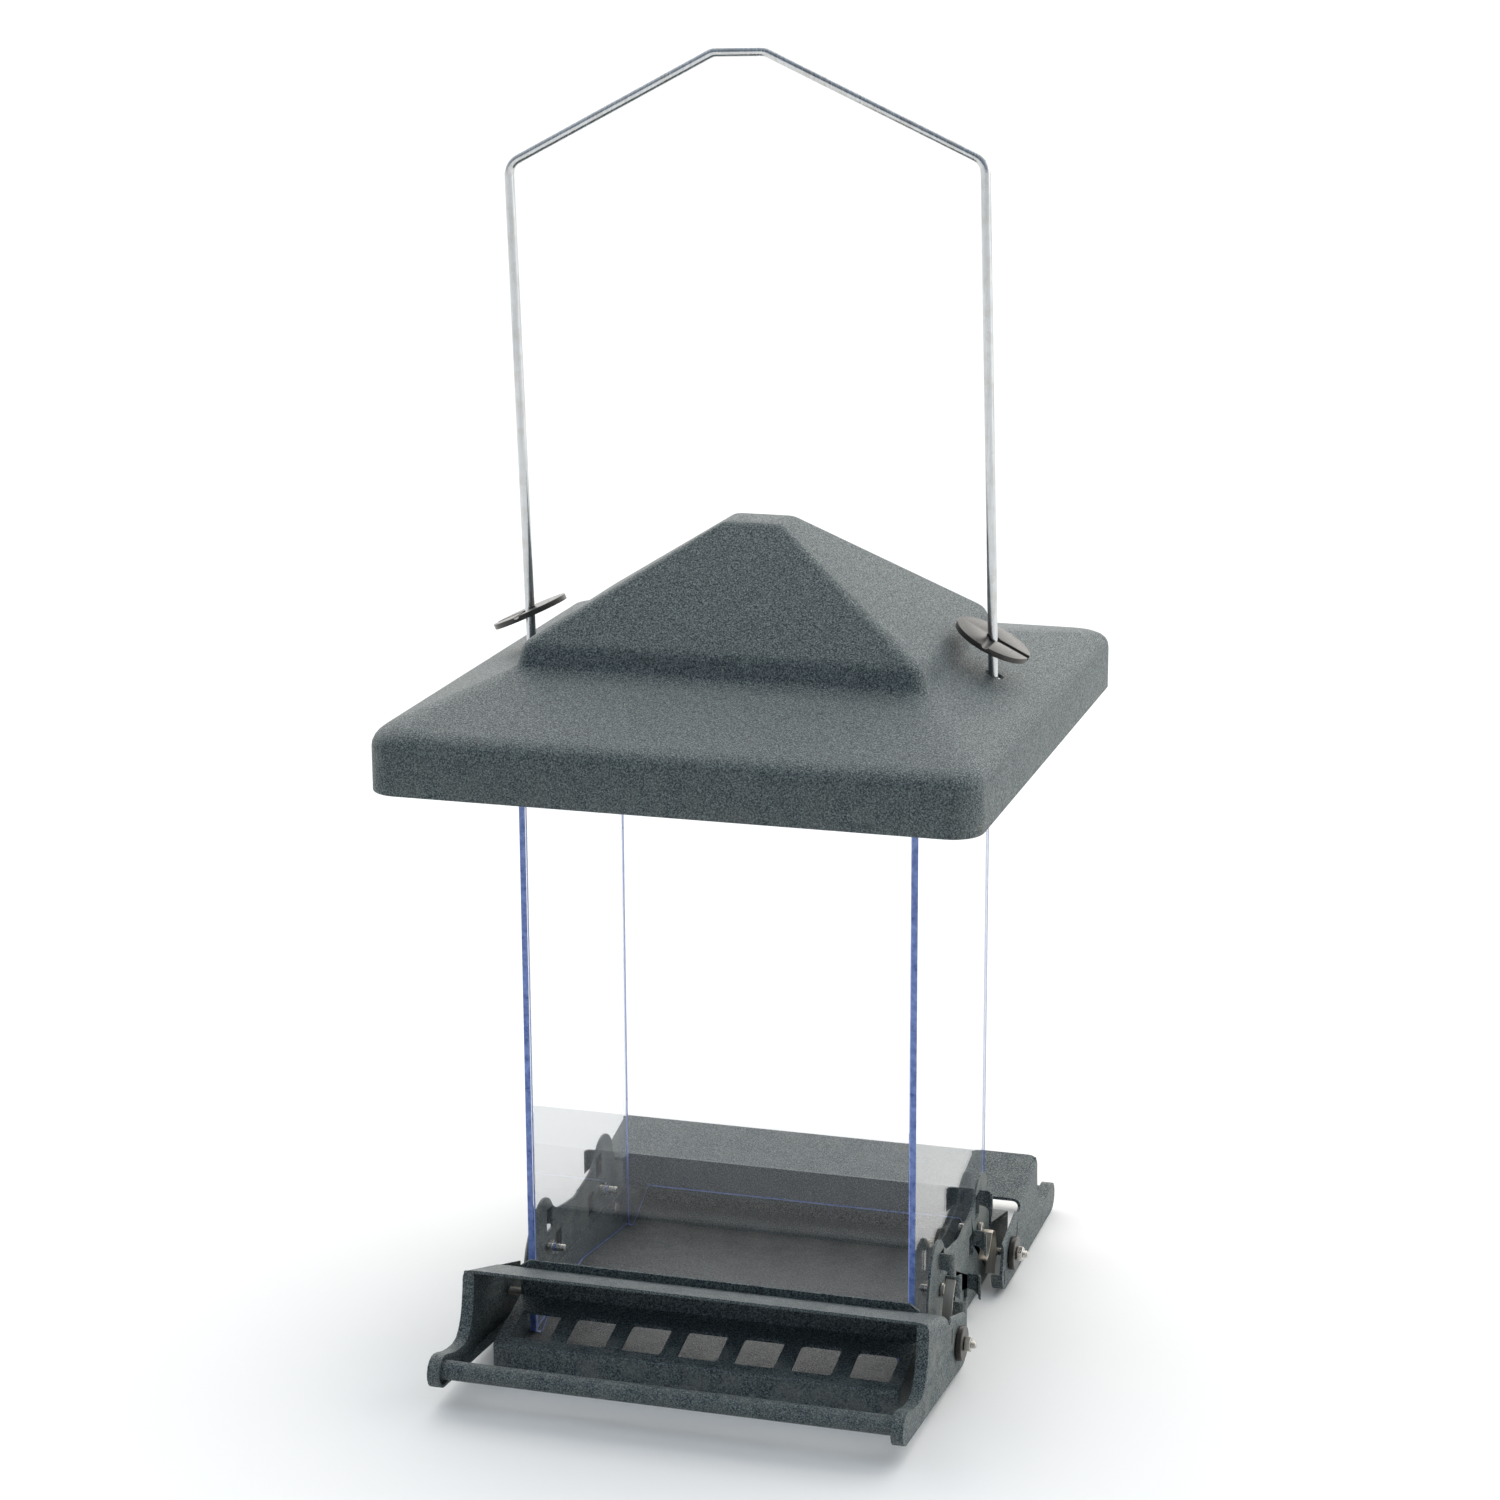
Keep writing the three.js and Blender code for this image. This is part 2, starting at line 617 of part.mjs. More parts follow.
// ---- Roof --------------------------------------------------------------------

// One level of the roof: a rounded rectangle with the same number of points at each level.
function level(halfX, halfY, radius, z) {
  const steps = 5;
  const centres = [[1, 1, 0], [-1, 1, 90], [-1, -1, 180], [1, -1, 270]];
  return centres.flatMap(([sx, sy, start]) =>
    arcPoints(sx * (halfX - radius), sy * (halfY - radius), radius, start, start + 90, steps)
      .map(([x, y]) => new THREE.Vector3(x, y, z)));
}

// A closed body through a run of levels, capped at both ends.
function loft(levels) {
  const count = levels[0].length;
  const vertices = levels.flat();
  const index = [];
  for (let k = 0; k + 1 < levels.length; k += 1) {
    for (let i = 0; i < count; i += 1) {
      const a = k * count + i;
      const b = k * count + ((i + 1) % count);
      index.push(a, b, b + count, a, b + count, a + count);
    }
  }
  for (let i = 1; i + 1 < count; i += 1) {
    const top = (levels.length - 1) * count;
    index.push(0, i + 1, i, top, top + i, top + i + 1);
  }
  const geometry = new THREE.BufferGeometry().setFromPoints(vertices);
  geometry.setIndex(index);
  return geometry;
}

const riserX = hopperX + 1;
const riserY = hopperY - 1.5;
const peakZ = deckFootZ + roofRiserHeight + roofPeakRise;

function roofLevels(inset) {
  const edge = 7; // rounding between skirt and deck
  const deckStep = roofDeckRise - edge * 0.6;
  const z = (height) => height - inset;
  return [
    level(roofHalfX - inset, roofHalfY - inset, roofCornerRadius - inset, skirtTopZ - roofSkirt - inset * 4),
    level(roofHalfX - inset, roofHalfY - inset, roofCornerRadius - inset, skirtTopZ - edge * 0.6),
    level(roofHalfX - inset - 0.8, roofHalfY - inset - 0.8, roofCornerRadius - inset, z(skirtTopZ - edge * 0.1)),
    level(roofHalfX - inset - 3, roofHalfY - inset - 3, roofCornerRadius - 2 - inset, z(skirtTopZ + edge * 0.35)),
    level(roofHalfX - inset - 7, roofHalfY - inset - 7, roofCornerRadius - 4 - inset, z(skirtTopZ + edge * 0.6)),
    level(riserX + 3 - inset, riserY + 3 - inset, 8, z(skirtTopZ + edge * 0.6 + deckStep * 0.96)),
    level(riserX - inset, riserY - inset, 7, z(deckFootZ + 1)),
    level(riserX - 1 - inset, riserY - 1 - inset, 7, z(deckFootZ + 3)),
    level(riserX - 1.8 - inset, riserY - 1.8 - inset, 6.5, z(deckFootZ + roofRiserHeight - 3.5)),
    level(riserX - 3.2 - inset, riserY - 3.2 - inset, 6, z(deckFootZ + roofRiserHeight - 1)),
    level(riserX - 6 - inset, riserY - 6 - inset, 5, z(deckFootZ + roofRiserHeight + 1)),
    level(roofPeakHalfX + 2, roofPeakHalfY + 2, 2.5, z(peakZ - 1.6)),
    level(roofPeakHalfX - 1, roofPeakHalfY - 1, 1.5, z(peakZ)),
  ];
}

function roof() {
  const shell = toSolid(loft(roofLevels(0))).subtract(toSolid(loft(roofLevels(roofWall))));
  const holes = [-1, 1].map((side) => {
    const geometry = new THREE.CylinderGeometry(wireRadius + wireClearance, wireRadius + wireClearance, 60, 20);
    return geometry.rotateX(Math.PI / 2).translate(side * legX, 0, deckFootZ - 12);
  });
  return toGeometry(holes.reduce((rest, hole) => rest.subtract(toSolid(hole)), shell));
}

addPiece('roof', roof(), coat());

// ---- Hanger, end caps and lock discs -----------------------------------------

const hangerGroup = new THREE.Group();
hangerGroup.position.set(0, 0, hookLevel);
hangerGroup.rotation.y = radians(-hangerLean);
model.add(hangerGroup);

// Straight runs joined by arcs of the bend radius.
function bentPath(points, radius) {
  const path = new THREE.CurvePath();
  let last = points[0];
  for (let i = 1; i + 1 < points.length; i += 1) {
    const corner = points[i];
    const inward = last.clone().sub(corner).normalize();
    const onward = points[i + 1].clone().sub(corner).normalize();
    const reach = radius / Math.tan(inward.angleTo(onward) / 2);
    const start = corner.clone().addScaledVector(inward, reach);
    const finish = corner.clone().addScaledVector(onward, reach);
    path.add(new THREE.LineCurve3(last, start));
    path.add(new THREE.QuadraticBezierCurve3(start, corner, finish));
    last = finish;
  }
  path.add(new THREE.LineCurve3(last, points[points.length - 1]));
  return path;
}

// Sections placed along the wire: two on each straight run, more on each bend.
function wireLevels(path, radius, sides) {
  const stations = [];
  for (const curve of path.curves) {
    const steps = curve.isLineCurve3 ? [0, 1] : [0.2, 0.4, 0.6, 0.8];
    for (const t of steps) {
      stations.push({ at: curve.getPoint(t), along: curve.getTangent(t) });
    }
  }
  const side = new THREE.Vector3(0, 1, 0);
  return stations.map(({ at, along }) => {
    const other = new THREE.Vector3().crossVectors(along, side);
    return Array.from({ length: sides }, (_, i) => {
      const angle = (2 * Math.PI * i) / sides;
      return at.clone().addScaledVector(side, -radius * Math.cos(angle))
        .addScaledVector(other, -radius * Math.sin(angle));
    });
  });
}

function hanger() {
  const hookEnd = hopperX - sheetWall - capThickness - 4 * gap;
  const points = [
    [-hookEnd, 0], [-legX, 0], [-legX, hangerShoulder], [-hangerTopHalf, hangerTop],
    [hangerTopHalf, hangerTop], [legX, hangerShoulder], [legX, 0], [hookEnd, 0],
  ].map(([x, z]) => new THREE.Vector3(x, 0, z));
  return loft(wireLevels(bentPath(points, hangerBend), wireRadius, 12));
}

function endCap() {
  const x0 = hopperX - sheetWall - gap - capThickness;
  const body = rodX(wireRadius + capWall, x0, x0 + capThickness, 0, 0, 20);
  return cut(body, rodX(wireRadius + gap, x0 - 1, x0 + capThickness + 1, 0, 0, 16));
}

function lockDisc() {
  const outline = new THREE.Shape();
  outline.absarc(0, 0, discRadius, 0, 2 * Math.PI);
  const disc = extrude(outline, discThickness, 18).translate(0, 0, -discThickness / 2);
  const boreRadius = wireRadius + discPlay;
  const slotHalf = wireRadius - discGrip / 2;
  const bore = new THREE.CylinderGeometry(boreRadius, boreRadius, 4 * discThickness, 20).rotateX(Math.PI / 2);
  const slot = box(0, discRadius + 2, -slotHalf, slotHalf, -discThickness, discThickness);
  return cut(disc, bore, slot);
}

addPiece('hanger', hanger(), zinc(), hangerGroup);
addPiece('right_hanger_cap', endCap(), black(), hangerGroup);
addPiece('left_hanger_cap', mirroredX(endCap()), black(), hangerGroup);

const deckAtLeg = skirtTopZ + (roofDeckRise * (roofHalfX - legX)) / (roofHalfX - riserX);
const legDroop = legX * Math.sin(radians(hangerLean));
for (const [hand, sx] of [['right', 1], ['left', -1]]) {
  const disc = addPiece(`${hand}_lock_disc`, sx > 0 ? lockDisc() : mirroredX(lockDisc()), black(), hangerGroup);
  disc.position.set(sx * legX, 0, deckAtLeg + discLift - hookLevel - sx * legDroop);
  disc.rotation.y = radians(sx * discTilts[hand]);
}

// ---- The origin is the middle of the foot of the whole feeder ----------------

model.updateMatrixWorld(true);
const whole = new THREE.Box3().setFromObject(model, true);
const middle = whole.getCenter(new THREE.Vector3());
model.position.set(-middle.x, -middle.y, -whole.min.z);

export default model;
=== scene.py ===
# Looks of a two-sided hopper feeder: powder-coated steel, clear sheets, zinc wire and fasteners.
# Metres, +Z up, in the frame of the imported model.
import json
import math

import bmesh
import bpy
from mathutils import Matrix, Vector

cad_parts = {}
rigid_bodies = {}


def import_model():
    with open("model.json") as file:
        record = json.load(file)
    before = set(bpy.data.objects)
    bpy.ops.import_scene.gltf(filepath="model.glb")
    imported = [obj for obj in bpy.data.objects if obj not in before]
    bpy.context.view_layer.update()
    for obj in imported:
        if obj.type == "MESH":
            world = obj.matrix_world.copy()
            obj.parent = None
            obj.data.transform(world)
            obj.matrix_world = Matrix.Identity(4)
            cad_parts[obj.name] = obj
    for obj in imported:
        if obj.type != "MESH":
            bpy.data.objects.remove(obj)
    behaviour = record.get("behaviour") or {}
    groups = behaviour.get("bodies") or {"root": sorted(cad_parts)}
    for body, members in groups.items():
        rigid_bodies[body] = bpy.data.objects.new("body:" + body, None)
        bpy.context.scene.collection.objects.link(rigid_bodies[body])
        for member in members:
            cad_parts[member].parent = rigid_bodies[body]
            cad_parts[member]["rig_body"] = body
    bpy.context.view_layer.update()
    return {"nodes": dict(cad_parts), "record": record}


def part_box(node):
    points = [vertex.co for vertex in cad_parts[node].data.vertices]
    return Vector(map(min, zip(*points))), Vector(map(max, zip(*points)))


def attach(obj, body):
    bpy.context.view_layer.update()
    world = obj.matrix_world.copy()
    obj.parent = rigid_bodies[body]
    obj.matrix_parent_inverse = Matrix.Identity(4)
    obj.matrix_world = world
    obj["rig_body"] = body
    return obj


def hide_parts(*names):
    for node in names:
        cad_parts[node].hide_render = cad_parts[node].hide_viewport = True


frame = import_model()
MM = 0.001

# ---- Sizes that repeat the design's own, in millimetres --------------------------

HOPPER_X = 100.0
HOPPER_Y = 75.0
LEG_X = 118.6
WIRE_RADIUS = 2.4
WIRE_BEND = 9.0
SHOULDER_RISE = 262.0
TOP_RISE = 314.0
TOP_HALF = 13.0
HANGER_LEAN = 1.6
CAP_WALL_X = 92.8
LEG_HOLE_RADIUS = 4.6
ROOF_WALL = 1.6
STUD_RADIUS = 2.0
THREAD_PITCH = 0.7
THREAD_DEPTH = 0.3
DISC_THICKNESS = 2.7
TROUGH_RADIUS = 2.1
TROUGH_LIFT = 0.9
TROUGH_LENGTH = 24
TROUGH_SIDES = 24

CORNERS = [(end, hand) for end in ("front", "rear") for hand in ("right", "left")]
BODY_OF = {node: obj["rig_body"] for node, obj in frame["nodes"].items()}
SLOT_OF = {part["node"]: part["material_slot"] for part in frame["record"]["subparts"]}

# ---- Shader node helpers -----------------------------------------------------------


class Tree:
    """Adds nodes to a material or a node group and joins them up."""

    def __init__(self, tree):
        self.tree = tree

    def add(self, kind, settings=None, **inputs):
        node = self.tree.nodes.new("ShaderNode" + kind)
        for name, value in (settings or {}).items():
            setattr(node, name, value)
        for name, value in inputs.items():
            self.put(node.inputs[name.replace("_", " ")], value)
        return node

    def put(self, socket, value):
        if isinstance(value, bpy.types.NodeSocket):
            self.tree.links.new(value, socket)
        else:
            socket.default_value = value

    def math(self, operation, first, second=0.0, clamp=False):
        node = self.add("Math", {"operation": operation, "use_clamp": clamp})
        self.put(node.inputs[0], first)
        self.put(node.inputs[1], second)
        return node.outputs[0]

    def ramp(self, value, *stops):
        """A colour ramp; each stop is a place and a grey or a colour."""
        node = self.add("ValToRGB")
        self.put(node.inputs["Fac"], value)
        elements = node.color_ramp.elements
        while len(elements) < len(stops):
            elements.new(0.5)
        for element, (place, colour) in zip(elements, stops):
            element.position = place
            element.color = grey(colour) if isinstance(colour, (int, float)) else (*colour, 1)
        return node.outputs["Color"]

    def mix(self, factor, first, second, blend="MIX"):
        node = self.add("Mix", {"data_type": "RGBA", "blend_type": blend})
        self.put(node.inputs["Factor"], factor)
        self.put(node.inputs["A"], first if isinstance(first, bpy.types.NodeSocket) else (*first, 1))
        self.put(node.inputs["B"], second if isinstance(second, bpy.types.NodeSocket) else (*second, 1))
        return node.outputs["Result"]



def grey(level):
    return (level, level, level, 1)


def new_group(name, inputs, outputs):
    """A node group with named number inputs and named outputs, and its helper."""
    group = bpy.data.node_groups.new(name, "ShaderNodeTree")
    for label, value in inputs.items():
        socket = group.interface.new_socket(name=label, in_out="INPUT", socket_type="NodeSocketFloat")
        socket.default_value = value
    for label, kind in outputs.items():
        group.interface.new_socket(name=label, in_out="OUTPUT", socket_type="NodeSocket" + kind)
    made = Tree(group)
    source = group.nodes.new("NodeGroupInput")
    result = group.nodes.new("NodeGroupOutput")
    return group, made, source.outputs, result.inputs


def place_group(made, group, **values):
    node = made.tree.nodes.new("ShaderNodeGroup")
    node.node_tree = group
    for name, value in values.items():
        made.put(node.inputs[name.replace("_", " ")], value)
    return node.outputs


def fleck_group():
    """Fine grains of a textured powder coat: light flecks, soft clouding and a grainy height."""
    group, made, given, out = new_group(
        "coat_flecks", {"Grain Size": 0.0011, "Fleck Share": 0.3},
        {"Flecks": "Float", "Clouds": "Float", "Height": "Float"})
    place = made.add("TexCoord").outputs["Object"]
    density = made.math("DIVIDE", 1.0, given["Grain Size"])
    grains = made.add("TexNoise", Vector=place, Scale=density, Detail=2.0, Roughness=0.55)
    cells = made.add("TexVoronoi", Vector=place, Scale=made.math("MULTIPLY", density, 1.25))
    pale = made.add("SeparateColor", Color=cells.outputs["Color"]).outputs[0]
    centre = made.math("SUBTRACT", 0.62, cells.outputs["Distance"], clamp=True)
    chosen = made.math("GREATER_THAN", pale, made.math("SUBTRACT", 1.0, given["Fleck Share"]))
    spots = made.math("MULTIPLY", made.math("MULTIPLY", centre, 2.0, clamp=True), chosen)
    mottle = made.ramp(grains.outputs["Fac"], (0.40, 0.0), (0.62, 1.0))
    made.put(out["Flecks"], made.math("ADD", made.math("MULTIPLY", spots, 0.65),
                                      made.math("MULTIPLY", mottle, 0.45), clamp=True))
    clouds = made.add("TexNoise", Vector=place, Scale=22.0, Detail=3.0, Roughness=0.5)
    made.put(out["Clouds"], clouds.outputs["Fac"])
    made.put(out["Height"], made.math("ADD", made.math("MULTIPLY", grains.outputs["Fac"], 0.7),
                                      made.math("MULTIPLY", spots, 0.5)))
    return group


def wear_group():
    """A mask of rubbed outer edges, from how sharply the surface turns, broken up by noise."""
    group, made, given, out = new_group(
        "edge_wear", {"Amount": 1.0, "Breakup Scale": 90.0}, {"Mask": "Float"})
    place = made.add("TexCoord").outputs["Object"]
    turn = made.add("NewGeometry").outputs["Pointiness"]
    edge = made.ramp(turn, (0.52, 0.0), (0.60, 1.0))
    broken = made.add("TexNoise", Vector=place, Scale=given["Breakup Scale"], Detail=4.0)
    patches = made.ramp(broken.outputs["Fac"], (0.42, 0.0), (0.62, 1.0))
    product = made.math("MULTIPLY", edge, patches)
    made.put(out["Mask"], made.math("MULTIPLY", product, given["Amount"], clamp=True))
    return group


def drawn_group():
    """Streaks along one direction, as drawing or rolling leaves on metal, and small dull marks."""
    group, made, given, out = new_group(
        "drawn_metal", {"Along X": 1.0, "Along Y": 1.0, "Along Z": 1.0, "Scale": 900.0},
        {"Streaks": "Float", "Marks": "Float"})
    place = made.add("TexCoord").outputs["Object"]
    stretch = made.add("CombineXYZ", X=given["Along X"], Y=given["Along Y"], Z=given["Along Z"])
    scaled = made.add("VectorMath", {"operation": "MULTIPLY"})
    made.put(scaled.inputs[0], place)
    made.put(scaled.inputs[1], stretch.outputs[0])
    streaks = made.add("TexNoise", Vector=scaled.outputs[0], Scale=given["Scale"], Detail=3.0)
    marks = made.add("TexNoise", Vector=place, Scale=140.0, Detail=5.0, Roughness=0.65)
    made.put(out["Streaks"], streaks.outputs["Fac"])
    made.put(out["Marks"], made.ramp(marks.outputs["Fac"], (0.45, 0.0), (0.66, 1.0)))
    return group


FLECKS = fleck_group()
WEAR = wear_group()
DRAWN = drawn_group()

# ---- Materials -----------------------------------------------------------------------


def new_material(name):
    made = bpy.data.materials.new(name)
    made.use_nodes = True
    tree = Tree(made.node_tree)
    shader = made.node_tree.nodes["Principled BSDF"]
    return made, tree, shader


def set_sockets(shader, **values):
    for name, value in values.items():
        shader.inputs[name.replace("_", " ")].default_value = value


def bumped(tree, shader, height, strength, distance):
    bump = tree.add("Bump", Strength=strength, Distance=distance, Height=height)
    tree.put(shader.inputs["Normal"], bump.outputs["Normal"])


def powder_coat(name, darkest, lightest, fleck):
    made, tree, shader = new_material(name)
    flecks = place_group(tree, FLECKS, Grain_Size=0.00078, Fleck_Share=0.32)
    wear = place_group(tree, WEAR, Amount=0.5)
    base = tree.mix(flecks["Clouds"], darkest, lightest)
    speckled = tree.mix(flecks["Flecks"], base, fleck)
    rubbed = tree.mix(wear["Mask"], speckled, (0.21, 0.22, 0.20))
    tree.put(shader.inputs["Base Color"], rubbed)
    tree.put(shader.inputs["Roughness"], tree.ramp(flecks["Flecks"], (0.0, 0.58), (1.0, 0.38)))
    set_sockets(shader, IOR=1.5, Specular_IOR_Level=0.30)
    bumped(tree, shader, flecks["Height"], 0.85, 0.0003)
    return made


def zinc_wire():
    made, tree, shader = new_material("drawn_zinc_wire")
    drawn = place_group(tree, DRAWN, Along_X=1.0, Along_Y=1.0, Along_Z=0.03, Scale=1300.0)
    plain = tree.mix(drawn["Streaks"], (0.34, 0.36, 0.40), (0.86, 0.86, 0.84))
    stained = tree.mix(drawn["Marks"], plain, (0.40, 0.36, 0.30), "MIX")
    tree.put(shader.inputs["Base Color"], tree.mix(0.35, plain, stained))
    tree.put(shader.inputs["Roughness"], tree.ramp(drawn["Streaks"], (0.3, 0.14), (0.7, 0.30)))
    set_sockets(shader, Metallic=1.0)
    bumped(tree, shader, drawn["Streaks"], 0.4, 0.00012)
    return made


def zinc_hardware():
    made, tree, shader = new_material("zinc_plated_hardware")
    drawn = place_group(tree, DRAWN, Along_X=0.2, Along_Y=1.0, Along_Z=1.0, Scale=1500.0)
    plain = tree.mix(drawn["Streaks"], (0.44, 0.42, 0.38), (0.78, 0.76, 0.71))
    tree.put(shader.inputs["Base Color"], tree.mix(tree.math("MULTIPLY", drawn["Marks"], 0.4),
                                                   plain, (0.30, 0.27, 0.22)))
    tree.put(shader.inputs["Roughness"], tree.ramp(drawn["Marks"], (0.0, 0.22), (1.0, 0.45)))
    set_sockets(shader, Metallic=1.0)
    bumped(tree, shader, drawn["Streaks"], 0.3, 0.00008)
    return made


def spring_strip():
    made, tree, shader = new_material("rolled_spring_strip")
    drawn = place_group(tree, DRAWN, Along_X=1.0, Along_Y=0.05, Along_Z=0.05, Scale=1800.0)
    plain = tree.mix(drawn["Streaks"], (0.36, 0.32, 0.27), (0.62, 0.57, 0.50))
    tree.put(shader.inputs["Base Color"], plain)
    tree.put(shader.inputs["Roughness"], tree.ramp(drawn["Streaks"], (0.25, 0.26), (0.75, 0.42)))
    set_sockets(shader, Metallic=1.0)
    bumped(tree, shader, drawn["Streaks"], 0.3, 0.00008)
    return made


def black_moulding():
    made, tree, shader = new_material("black_brown_moulding")
    place = tree.add("TexCoord").outputs["Object"]
    grain = tree.add("TexNoise", Vector=place, Scale=1400.0, Detail=3.0)
    bloom = tree.add("TexNoise", Vector=place, Scale=160.0, Detail=3.0)
    wear = place_group(tree, WEAR, Amount=0.5, Breakup_Scale=400.0)
    body = tree.mix(bloom.outputs["Fac"], (0.016, 0.014, 0.012), (0.048, 0.041, 0.035))
    tree.put(shader.inputs["Base Color"], tree.mix(wear["Mask"], body, (0.10, 0.09, 0.08)))
    tree.put(shader.inputs["Roughness"], tree.ramp(grain.outputs["Fac"], (0.3, 0.26), (0.7, 0.40)))
    bumped(tree, shader, grain.outputs["Fac"], 0.25, 0.0001)
    return made


def lets_lamps_through(tree, shader, tint):
    """Mixes in a transparent shader for rays that only carry lamp light through the sheet."""
    path = tree.add("LightPath")
    clear = tree.add("BsdfTransparent", Color=(*tint, 1))
    choose = tree.add("MixShader")
    rays = tree.math("MAXIMUM", path.outputs["Is Shadow Ray"], path.outputs["Is Diffuse Ray"])
    tree.put(choose.inputs[0], rays)
    tree.put(choose.inputs[1], shader.outputs[0])
    tree.put(choose.inputs[2], clear.outputs[0])
    tree.put(tree.tree.nodes["Material Output"].inputs["Surface"], choose.outputs[0])


def clear_sheet():
    made, tree, shader = new_material("clear_polycarbonate")
    place = tree.add("TexCoord").outputs["Object"]
    scuffs = tree.add("TexNoise", Vector=place, Scale=70.0, Detail=6.0, Roughness=0.7)
    tree.put(shader.inputs["Roughness"], tree.ramp(scuffs.outputs["Fac"], (0.5, 0.008), (0.75, 0.05)))
    set_sockets(shader, Base_Color=(0.985, 0.99, 1.0, 1), IOR=1.45, Transmission_Weight=1.0)
    lets_lamps_through(tree, shader, (0.97, 0.975, 0.985))
    return made


def sheet_edge():
    """The sawn edges of the clear sheets, which glow blue."""
    made, tree, shader = new_material("blue_sheet_edge")
    place = tree.add("TexCoord").outputs["Object"]
    saw = tree.add("TexNoise", Vector=place, Scale=260.0, Detail=4.0, Roughness=0.6)
    tree.put(shader.inputs["Base Color"],
             tree.ramp(saw.outputs["Fac"], (0.32, (0.10, 0.17, 0.50)), (0.70, (0.30, 0.42, 0.85))))
    tree.put(shader.inputs["Roughness"], tree.ramp(saw.outputs["Fac"], (0.3, 0.25), (0.7, 0.45)))
    set_sockets(shader, IOR=1.5)
    bumped(tree, shader, saw.outputs["Fac"], 0.25, 0.0002)
    return made


COAT = powder_coat("green_grey_powder_coat", darkest=(0.018, 0.029, 0.035),
                   lightest=(0.028, 0.041, 0.046), fleck=(0.29, 0.34, 0.34))
# A paler copy of the same powder coat for the seed ramp. The paler colour is painted light: it stands
# for light falling through the clear hopper onto the ramp.
LIT_COPY_COAT = powder_coat("powder_coat_painted_lighter", darkest=(0.062, 0.065, 0.066),
                      lightest=(0.082, 0.083, 0.082), fleck=(0.26, 0.265, 0.26))
WIRE = zinc_wire()
HARDWARE = zinc_hardware()
SPRING = spring_strip()
BLACK = black_moulding()
CLEAR = clear_sheet()
EDGE = sheet_edge()
FINISHES = {"powder_coat": COAT, "zinc_wire": WIRE, "zinc_hardware": HARDWARE,
            "spring_steel": SPRING, "black_plastic": BLACK, "clear_sheet": CLEAR}

# ---- Mesh helpers ----------------------------------------------------------------------


def piece_from(name, work, node):
    """Turns a bmesh into a piece that stands for one CAD node, with that node's body and finish."""
    mesh = bpy.data.meshes.new(name)
    bmesh.ops.recalc_face_normals(work, faces=work.faces)
    work.to_mesh(mesh)
    work.free()
    mesh.shade_smooth()
    mesh.set_sharp_from_angle(angle=math.radians(35))
    mesh.materials.append(FINISHES[SLOT_OF[node]])
    made = bpy.data.objects.new(name, mesh)
    bpy.context.scene.collection.objects.link(made)
    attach(made, BODY_OF[node])
    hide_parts(node)
    return made


def welded(node):
    """The CAD node's own surface with its flat faces made whole again."""
    work = bmesh.new()
    work.from_mesh(frame["nodes"][node].data)
    bmesh.ops.remove_doubles(work, verts=work.verts, dist=2e-6)
    bmesh.ops.dissolve_limit(work, angle_limit=math.radians(0.6), verts=work.verts, edges=work.edges)
    return work


def rounded(work, width, steps=2, sharper_than=32):
    """Rounds every edge that turns more sharply than the given angle."""
    limit = math.radians(sharper_than)
    edges = [e for e in work.edges if e.is_manifold and e.calc_face_angle(0) > limit]
    bmesh.ops.bevel(work, geom=edges, offset=width * MM, offset_type="OFFSET", segments=steps,
                    profile=0.5, affect="EDGES", clamp_overlap=True)
    return work


def finished(node, width, steps=2, sharper_than=32):
    """A CAD node with its sheet edges and corners rounded as a made piece has them."""
    piece = piece_from(node + "_finished", rounded(welded(node), width, steps, sharper_than), node)
    keep_flats_flat(piece.data)
    return piece


def keep_flats_flat(mesh):
    """Large faces keep their own direction, so only the rounded edges shade softly."""
    totals = [Vector() for _ in mesh.vertices]
    for face in mesh.polygons:
        for index in face.vertices:
            totals[index] += face.normal * face.area
    mesh.normals_split_custom_set_from_vertices([total.normalized() for total in totals])


def ring_skin(work, rings, closed_ends=True):
    """Skins a run of rings that all have the same number of points."""
    rows = [[work.verts.new(point) for point in ring] for ring in rings]
    count = len(rows[0])
    for lower, upper in zip(rows, rows[1:]):
        for i in range(count):
            j = (i + 1) % count
            work.faces.new((lower[i], lower[j], upper[j], upper[i]))
    if closed_ends:
        work.faces.new(rows[0][::-1])
        work.faces.new(rows[-1])
    return work


def cut_away(piece, work):
    """Takes a closed cutter away from a piece, with the result kept in its mesh."""
    mesh = bpy.data.meshes.new("cutter")
    bmesh.ops.recalc_face_normals(work, faces=work.faces)
    work.to_mesh(mesh)
    work.free()
    cutter = bpy.data.objects.new("cutter", mesh)
    bpy.context.scene.collection.objects.link(cutter)
    modifier = piece.modifiers.new("holes", "BOOLEAN")
    modifier.object = cutter
    modifier.operation = "DIFFERENCE"
    modifier.solver = "EXACT"
    bpy.context.view_layer.update()
    shown = piece.evaluated_get(bpy.context.evaluated_depsgraph_get())
    result = bpy.data.meshes.new_from_object(shown)
    piece.modifiers.remove(modifier)
    piece.data = result
    bpy.data.objects.remove(cutter)
    return piece


# ---- Roof --------------------------------------------------------------------------------


def roof_ring(half_x, half_y, radius, z, centre_y, steps=9):
    """One level of the roof: a rectangle with round corners."""
    points = []
    for sx, sy, start in ((1, 1, 0), (-1, 1, 90), (-1, -1, 180), (1, -1, 270)):
        for i in range(steps + 1):
            angle = math.radians(start + 90 * i / steps)
            x = sx * (half_x - radius) + radius * math.cos(angle)
            y = sy * (half_y - radius) + radius * math.sin(angle)
            points.append(Vector((x * MM, y * MM + centre_y, z * MM)))
    return points


